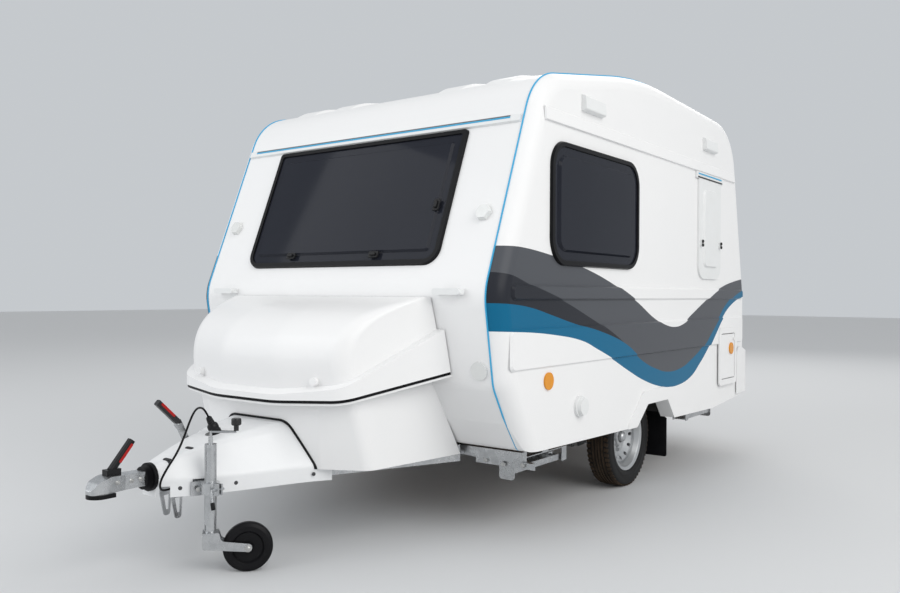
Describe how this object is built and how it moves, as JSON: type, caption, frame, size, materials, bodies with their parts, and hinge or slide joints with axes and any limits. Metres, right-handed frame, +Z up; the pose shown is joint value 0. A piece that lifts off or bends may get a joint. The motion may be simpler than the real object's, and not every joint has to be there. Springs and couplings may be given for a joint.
{
  "type": "travel caravan",
  "caption": "Single-axle travel caravan with moulded front gas locker, covered drawbar, jockey wheel, corner steadies, entry door and wide front window.",
  "frame": {"origin": "on the ground, under the centre of the overall box", "axes": "+Z up, -Y towards the drawbar, +X to the caravan's left side"},
  "size_m": [2.111, 4.667, 2.4208],
  "materials": {
    "white_body": "gloss",
    "white_trim": "gloss",
    "blue_piping": "matte",
    "black_rubber": "matte",
    "tinted_pane": "gloss",
    "aluminium_trim": "satin",
    "grey_cover": "satin",
    "galvanised": "zinc",
    "black_steel": "satin",
    "silver_steel": "satin",
    "tyre_rubber": "matte",
    "black_plastic": "matte",
    "grey_plastic": "matte",
    "white_lens": "gloss",
    "amber_lens": "gloss",
    "red_lens": "gloss",
    "floor_board": "matte",
    "furniture": "satin",
    "worktop": "satin",
    "seat_fabric": "matte",
    "grey_liner": "matte",
    "dark_liner": "matte"
  },
  "bodies": {
    "caravan_body": {"axle": "galvanised", "bellows_and_buffer": "black_rubber", "chassis_frame": "galvanised", "coupling_handle": "black_plastic", "coupling_head": "galvanised", "drawbar_cover": "grey_cover", "filler_cap": "white_trim", "floor": "floor_board", "front_lamps": "white_lens", "front_panel": "white_body", "furniture": "furniture", "grab_handles": "white_trim", "handbrake_lever": "black_steel", "jockey_clamp": "galvanised", "locker_box": "white_body", "mud_flaps": "black_rubber", "narrow_hatch": "white_trim", "overrun_unit": "galvanised", "plug_holder": "black_plastic", "rear_bumper": "white_body", "rear_lamps": "red_lens", "rear_panel": "white_body", "roof_hatch": "white_trim", "roof_panel": "white_body", "rubber_seals": "black_rubber", "seam_piping": "blue_piping", "seat_cushion": "seat_fabric", "service_flap_frame": "white_trim", "service_locker": "grey_liner", "side_reflectors": "amber_lens", "side_shell_left": "white_body", "side_shell_right": "white_body", "side_vents": "white_trim", "steady_brackets": "galvanised", "table_and_worktop": "worktop", "towing_cable": "black_rubber", "towing_plug": "black_plastic", "trim_rail_caps": "white_trim", "trim_rails": "aluminium_trim", "wheel_boxes": "dark_liner", "window_frames": "black_rubber", "window_panes": "tinted_pane"},
    "locker_lid": {"locker_lid": "white_body"},
    "entry_door": {"entry_door": "white_body", "door_fittings": "black_plastic", "door_window_pane": "tinted_pane"},
    "service_flap": {"service_flap": "white_body"},
    "jockey_tube": {"jockey_tube": "galvanised"},
    "jockey_inner": {"jockey_inner_tube": "galvanised"},
    "jockey_fork": {"jockey_fork": "galvanised"},
    "jockey_wheel": {"jockey_wheel": "grey_plastic"},
    "wheel_left": {"wheel_left": "silver_steel", "tyre_left": "tyre_rubber"},
    "wheel_right": {"wheel_right": "silver_steel", "tyre_right": "tyre_rubber"},
    "steady_front_left": {"steady_front_left": "galvanised"},
    "steady_front_right": {"steady_front_right": "galvanised"},
    "steady_rear_left": {"steady_rear_left": "galvanised"},
    "steady_rear_right": {"steady_rear_right": "galvanised"}
  },
  "joints": [
    {"name": "locker_lid_hinge", "type": "hinge", "parent": "caravan_body", "child": "locker_lid", "pos_m": [0, -1.085, 1.118], "axis": [-1, 0, 0], "range_deg": [0, 50]},
    {"name": "entry_door_hinge", "type": "hinge", "parent": "caravan_body", "child": "entry_door", "pos_m": [-1.046, 1.377, 1.255], "axis": [0, 0, 1], "range_deg": [0, 110]},
    {"name": "service_flap_hinge", "type": "hinge", "parent": "caravan_body", "child": "service_flap", "pos_m": [1.0453, 1.706, 0.7055], "axis": [0, 0, -1], "range_deg": [0, 110]},
    {"name": "jockey_clamp_slide", "type": "slide", "parent": "caravan_body", "child": "jockey_tube", "axis": [0, 0, 1], "range_m": [0, 0.07]},
    {"name": "jockey_screw", "type": "slide", "parent": "jockey_tube", "child": "jockey_inner", "axis": [0, 0, 1], "range_m": [-0.15, 0]},
    {"name": "jockey_swivel", "type": "hinge", "parent": "jockey_inner", "child": "jockey_fork", "pos_m": [0.2, -1.923, 0.15], "axis": [0, 0, 1], "continuous": true},
    {"name": "jockey_wheel_spin", "type": "hinge", "parent": "jockey_fork", "child": "jockey_wheel", "pos_m": [0.29434, -1.809, 0.1], "axis": [0.7705, -0.6374, 0], "continuous": true},
    {"name": "wheel_left_spin", "type": "hinge", "parent": "caravan_body", "child": "wheel_left", "pos_m": [0.81, 0.563, 0.285], "axis": [1, 0, 0], "continuous": true},
    {"name": "wheel_right_spin", "type": "hinge", "parent": "caravan_body", "child": "wheel_right", "pos_m": [-0.81, 0.563, 0.285], "axis": [1, 0, 0], "continuous": true},
    {"name": "steady_front_left_hinge", "type": "hinge", "parent": "caravan_body", "child": "steady_front_left", "pos_m": [0.834, -0.233, 0.296], "axis": [1, 0, 0], "range_deg": [0, 38]},
    {"name": "steady_front_right_hinge", "type": "hinge", "parent": "caravan_body", "child": "steady_front_right", "pos_m": [-0.834, -0.233, 0.296], "axis": [1, 0, 0], "range_deg": [0, 38]},
    {"name": "steady_rear_left_hinge", "type": "hinge", "parent": "caravan_body", "child": "steady_rear_left", "pos_m": [0.834, 1.489, 0.296], "axis": [-1, 0, 0], "range_deg": [0, 38]},
    {"name": "steady_rear_right_hinge", "type": "hinge", "parent": "caravan_body", "child": "steady_rear_right", "pos_m": [-0.834, 1.489, 0.296], "axis": [-1, 0, 0], "range_deg": [0, 38]}
  ]
}
